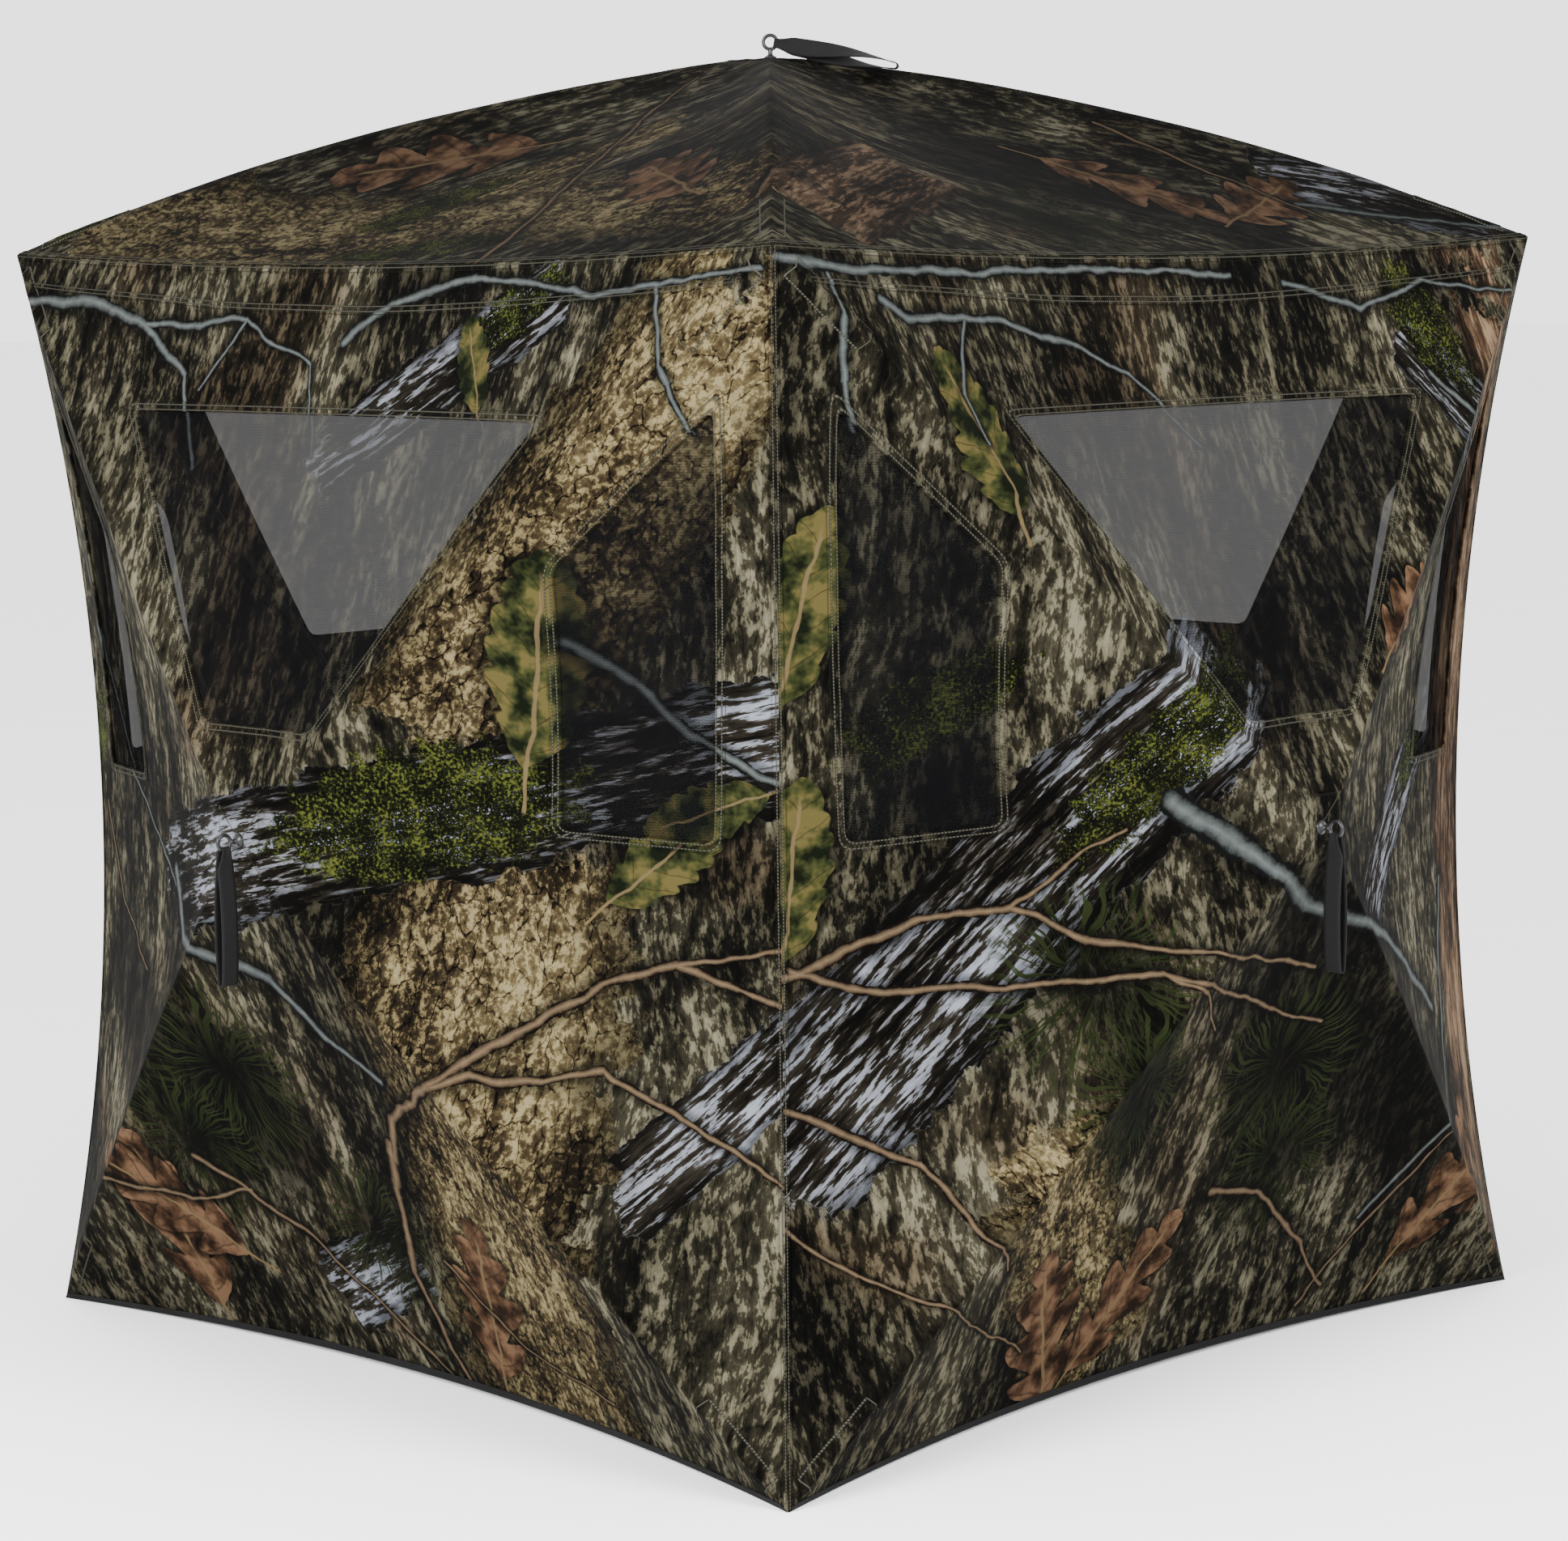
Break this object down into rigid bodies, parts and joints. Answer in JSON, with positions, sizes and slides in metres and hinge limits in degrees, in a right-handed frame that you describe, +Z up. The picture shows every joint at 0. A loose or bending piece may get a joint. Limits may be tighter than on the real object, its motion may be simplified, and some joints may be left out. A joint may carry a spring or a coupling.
{
  "type": "pop up ground blind",
  "caption": "Square pop up hunting blind: camouflage roof and walls stretched over hub and pole frames, mesh windows, pull straps.",
  "frame": {"origin": "on the ground, under the middle of the roof", "axes": "+Z up, +X out of the right wall, -Y out of the front wall"},
  "size_m": [1.9632, 1.9632, 1.7637],
  "materials": {
    "camo_fabric": "matte printed polyester, black coated inside",
    "window_mesh": "printed see-through mesh",
    "black_cloth": "matte black cloth",
    "black_plastic": "moulded, fine grained",
    "fibreglass": "pultruded fibreglass rod",
    "black_metal": "black coated wire and cast metal, slightly glossy",
    "webbing": "woven webbing"
  },
  "bodies": {
    "root": {"roof_panel": "camo_fabric", "wall_front": "camo_fabric", "screen_front_top": "window_mesh", "screen_front_side_left": "window_mesh", "screen_front_side_right": "window_mesh", "corner_foot_front": "black_plastic", "wall_right": "camo_fabric", "screen_right_top": "window_mesh", "screen_right_side_left": "window_mesh", "screen_right_side_right": "window_mesh", "corner_foot_right": "black_plastic", "wall_back": "camo_fabric", "screen_back_top": "window_mesh", "screen_back_side_left": "window_mesh", "screen_back_side_right": "window_mesh", "corner_foot_back": "black_plastic", "wall_left": "camo_fabric", "screen_left_top": "window_mesh", "screen_left_side_left": "window_mesh", "screen_left_side_right": "window_mesh", "corner_foot_left": "black_plastic", "window_cover_back": "black_cloth", "window_cover_left": "black_cloth"},
    "hub_roof": {"hub_roof": "black_plastic", "eye_bolt_roof": "black_metal"},
    "pole_roof_bottom_left": {"pole_roof_bottom_left": "fibreglass"},
    "pole_roof_bottom_right": {"pole_roof_bottom_right": "fibreglass"},
    "pole_roof_top_right": {"pole_roof_top_right": "fibreglass"},
    "pole_roof_top_left": {"pole_roof_top_left": "fibreglass"},
    "pull_strap_roof": {"pull_strap_roof": "webbing"},
    "hub_front": {"hub_front": "black_plastic", "eye_bolt_front": "black_metal"},
    "pole_front_bottom_left": {"pole_front_bottom_left": "fibreglass"},
    "pole_front_bottom_right": {"pole_front_bottom_right": "fibreglass"},
    "pole_front_top_right": {"pole_front_top_right": "fibreglass"},
    "pole_front_top_left": {"pole_front_top_left": "fibreglass"},
    "pull_strap_front": {"pull_strap_front": "webbing"},
    "hub_right": {"hub_right": "black_plastic", "eye_bolt_right": "black_metal"},
    "pole_right_bottom_left": {"pole_right_bottom_left": "fibreglass"},
    "pole_right_bottom_right": {"pole_right_bottom_right": "fibreglass"},
    "pole_right_top_right": {"pole_right_top_right": "fibreglass"},
    "pole_right_top_left": {"pole_right_top_left": "fibreglass"},
    "pull_strap_right": {"pull_strap_right": "webbing"},
    "hub_back": {"hub_back": "black_plastic", "eye_bolt_back": "black_metal"},
    "pole_back_bottom_left": {"pole_back_bottom_left": "fibreglass"},
    "pole_back_bottom_right": {"pole_back_bottom_right": "fibreglass"},
    "pole_back_top_right": {"pole_back_top_right": "fibreglass"},
    "pole_back_top_left": {"pole_back_top_left": "fibreglass"},
    "pull_strap_back": {"pull_strap_back": "webbing"},
    "hub_left": {"hub_left": "black_plastic", "eye_bolt_left": "black_metal"},
    "pole_left_bottom_left": {"pole_left_bottom_left": "fibreglass"},
    "pole_left_bottom_right": {"pole_left_bottom_right": "fibreglass"},
    "pole_left_top_right": {"pole_left_top_right": "fibreglass"},
    "pole_left_top_left": {"pole_left_top_left": "fibreglass"},
    "pull_strap_left": {"pull_strap_left": "webbing"},
    "door_zip_slider": {"door_zip_slider": "black_metal"}
  },
  "joints": [
    {"name": "hub_roof_push", "type": "slide", "parent": "root", "child": "hub_roof", "axis": [0, 0, 1], "range_m": [-0.45, 0], "deforming": ["roof_panel"]},
    {"name": "pole_roof_bottom_left_pivot", "type": "hinge", "parent": "hub_roof", "child": "pole_roof_bottom_left", "pos_m": [-0.01697, -0.01697, 1.691], "axis": [0.7071, -0.7071, 0], "range_deg": [-27.57, 0.5]},
    {"name": "pole_roof_bottom_right_pivot", "type": "hinge", "parent": "hub_roof", "child": "pole_roof_bottom_right", "pos_m": [0.01697, -0.01697, 1.691], "axis": [0.7071, 0.7071, 0], "range_deg": [-27.57, 0.5]},
    {"name": "pole_roof_top_right_pivot", "type": "hinge", "parent": "hub_roof", "child": "pole_roof_top_right", "pos_m": [0.01697, 0.01697, 1.691], "axis": [-0.7071, 0.7071, 0], "range_deg": [-27.57, 0.5]},
    {"name": "pole_roof_top_left_pivot", "type": "hinge", "parent": "hub_roof", "child": "pole_roof_top_left", "pos_m": [-0.01697, 0.01697, 1.691], "axis": [-0.7071, -0.7071, 0], "range_deg": [-27.57, 0.5]},
    {"name": "pull_strap_roof_swing", "type": "hinge", "parent": "hub_roof", "child": "pull_strap_roof", "pos_m": [0, 0, 1.7516], "axis": [0.6157, -0.788, 0], "range_deg": [0, 160]},
    {"name": "hub_front_push", "type": "slide", "parent": "root", "child": "hub_front", "axis": [0, -1, 0], "range_m": [-0.36, 0], "deforming": ["wall_front"]},
    {"name": "pole_front_bottom_left_pivot", "type": "hinge", "parent": "hub_front", "child": "pole_front_bottom_left", "pos_m": [-0.01663, -0.9085, 0.73469], "axis": [0.721, 0, -0.6929], "range_deg": [-22.21, 0.5]},
    {"name": "pole_front_bottom_right_pivot", "type": "hinge", "parent": "hub_front", "child": "pole_front_bottom_right", "pos_m": [0.01663, -0.9085, 0.73469], "axis": [0.721, 0, 0.6929], "range_deg": [-22.21, 0.5]},
    {"name": "pole_front_top_right_pivot", "type": "hinge", "parent": "hub_front", "child": "pole_front_top_right", "pos_m": [0.01714, -0.9085, 0.7688], "axis": [-0.6999, 0, 0.7142], "range_deg": [-22.53, 0.5]},
    {"name": "pole_front_top_left_pivot", "type": "hinge", "parent": "hub_front", "child": "pole_front_top_left", "pos_m": [-0.01714, -0.9085, 0.7688], "axis": [-0.6999, 0, -0.7142], "range_deg": [-22.53, 0.5]},
    {"name": "pull_strap_front_swing", "type": "hinge", "parent": "hub_front", "child": "pull_strap_front", "pos_m": [0, -0.9691, 0.752], "axis": [-1, 0, 0], "range_deg": [-15, 120]},
    {"name": "hub_right_push", "type": "slide", "parent": "root", "child": "hub_right", "axis": [1, 0, 0], "range_m": [-0.36, 0], "deforming": ["wall_right"]},
    {"name": "pole_right_bottom_left_pivot", "type": "hinge", "parent": "hub_right", "child": "pole_right_bottom_left", "pos_m": [0.9085, -0.01663, 0.73469], "axis": [0, 0.721, -0.6929], "range_deg": [-22.21, 0.5]},
    {"name": "pole_right_bottom_right_pivot", "type": "hinge", "parent": "hub_right", "child": "pole_right_bottom_right", "pos_m": [0.9085, 0.01663, 0.73469], "axis": [0, 0.721, 0.6929], "range_deg": [-22.21, 0.5]},
    {"name": "pole_right_top_right_pivot", "type": "hinge", "parent": "hub_right", "child": "pole_right_top_right", "pos_m": [0.9085, 0.01714, 0.7688], "axis": [0, -0.6999, 0.7142], "range_deg": [-22.53, 0.5]},
    {"name": "pole_right_top_left_pivot", "type": "hinge", "parent": "hub_right", "child": "pole_right_top_left", "pos_m": [0.9085, -0.01714, 0.7688], "axis": [0, -0.6999, -0.7142], "range_deg": [-22.53, 0.5]},
    {"name": "pull_strap_right_swing", "type": "hinge", "parent": "hub_right", "child": "pull_strap_right", "pos_m": [0.9691, 0, 0.752], "axis": [0, -1, 0], "range_deg": [-15, 120]},
    {"name": "hub_back_push", "type": "slide", "parent": "root", "child": "hub_back", "axis": [0, 1, 0], "range_m": [-0.36, 0], "deforming": ["wall_back"]},
    {"name": "pole_back_bottom_left_pivot", "type": "hinge", "parent": "hub_back", "child": "pole_back_bottom_left", "pos_m": [0.01663, 0.9085, 0.73469], "axis": [-0.721, 0, -0.6929], "range_deg": [-22.21, 0.5]},
    {"name": "pole_back_bottom_right_pivot", "type": "hinge", "parent": "hub_back", "child": "pole_back_bottom_right", "pos_m": [-0.01663, 0.9085, 0.73469], "axis": [-0.721, 0, 0.6929], "range_deg": [-22.21, 0.5]},
    {"name": "pole_back_top_right_pivot", "type": "hinge", "parent": "hub_back", "child": "pole_back_top_right", "pos_m": [-0.01714, 0.9085, 0.7688], "axis": [0.6999, 0, 0.7142], "range_deg": [-22.53, 0.5]},
    {"name": "pole_back_top_left_pivot", "type": "hinge", "parent": "hub_back", "child": "pole_back_top_left", "pos_m": [0.01714, 0.9085, 0.7688], "axis": [0.6999, 0, -0.7142], "range_deg": [-22.53, 0.5]},
    {"name": "pull_strap_back_swing", "type": "hinge", "parent": "hub_back", "child": "pull_strap_back", "pos_m": [0, 0.9691, 0.752], "axis": [1, 0, 0], "range_deg": [-15, 120]},
    {"name": "hub_left_push", "type": "slide", "parent": "root", "child": "hub_left", "axis": [-1, 0, 0], "range_m": [-0.36, 0], "deforming": ["wall_left"]},
    {"name": "pole_left_bottom_left_pivot", "type": "hinge", "parent": "hub_left", "child": "pole_left_bottom_left", "pos_m": [-0.9085, 0.01663, 0.73469], "axis": [0, -0.721, -0.6929], "range_deg": [-22.21, 0.5]},
    {"name": "pole_left_bottom_right_pivot", "type": "hinge", "parent": "hub_left", "child": "pole_left_bottom_right", "pos_m": [-0.9085, -0.01663, 0.73469], "axis": [0, -0.721, 0.6929], "range_deg": [-22.21, 0.5]},
    {"name": "pole_left_top_right_pivot", "type": "hinge", "parent": "hub_left", "child": "pole_left_top_right", "pos_m": [-0.9085, -0.01714, 0.7688], "axis": [0, 0.6999, 0.7142], "range_deg": [-22.53, 0.5]},
    {"name": "pole_left_top_left_pivot", "type": "hinge", "parent": "hub_left", "child": "pole_left_top_left", "pos_m": [-0.9085, 0.01714, 0.7688], "axis": [0, 0.6999, -0.7142], "range_deg": [-22.53, 0.5]},
    {"name": "pull_strap_left_swing", "type": "hinge", "parent": "hub_left", "child": "pull_strap_left", "pos_m": [-0.9691, 0, 0.752], "axis": [0, 1, 0], "range_deg": [-15, 120]},
    {"name": "door_zip", "type": "slide", "parent": "pole_back_bottom_left", "child": "door_zip_slider", "axis": [0.6792, -0.2056, -0.7045], "range_m": [-0.78, 0]}
  ],
  "couplings": [
    {"joint": "pole_roof_bottom_left_pivot", "follows": "hub_roof_push", "rad_per_m": 1.0501},
    {"joint": "pole_roof_bottom_right_pivot", "follows": "hub_roof_push", "rad_per_m": 1.0501},
    {"joint": "pole_roof_top_right_pivot", "follows": "hub_roof_push", "rad_per_m": 1.0501},
    {"joint": "pole_roof_top_left_pivot", "follows": "hub_roof_push", "rad_per_m": 1.0501},
    {"joint": "pole_front_bottom_left_pivot", "follows": "hub_front_push", "rad_per_m": 1.0523},
    {"joint": "pole_front_bottom_right_pivot", "follows": "hub_front_push", "rad_per_m": 1.0523},
    {"joint": "pole_front_top_right_pivot", "follows": "hub_front_push", "rad_per_m": 1.0679},
    {"joint": "pole_front_top_left_pivot", "follows": "hub_front_push", "rad_per_m": 1.0679},
    {"joint": "pole_right_bottom_left_pivot", "follows": "hub_right_push", "rad_per_m": 1.0523},
    {"joint": "pole_right_bottom_right_pivot", "follows": "hub_right_push", "rad_per_m": 1.0523},
    {"joint": "pole_right_top_right_pivot", "follows": "hub_right_push", "rad_per_m": 1.0679},
    {"joint": "pole_right_top_left_pivot", "follows": "hub_right_push", "rad_per_m": 1.0679},
    {"joint": "pole_back_bottom_left_pivot", "follows": "hub_back_push", "rad_per_m": 1.0523},
    {"joint": "pole_back_bottom_right_pivot", "follows": "hub_back_push", "rad_per_m": 1.0523},
    {"joint": "pole_back_top_right_pivot", "follows": "hub_back_push", "rad_per_m": 1.0679},
    {"joint": "pole_back_top_left_pivot", "follows": "hub_back_push", "rad_per_m": 1.0679},
    {"joint": "pole_left_bottom_left_pivot", "follows": "hub_left_push", "rad_per_m": 1.0523},
    {"joint": "pole_left_bottom_right_pivot", "follows": "hub_left_push", "rad_per_m": 1.0523},
    {"joint": "pole_left_top_right_pivot", "follows": "hub_left_push", "rad_per_m": 1.0679},
    {"joint": "pole_left_top_left_pivot", "follows": "hub_left_push", "rad_per_m": 1.0679}
  ]
}
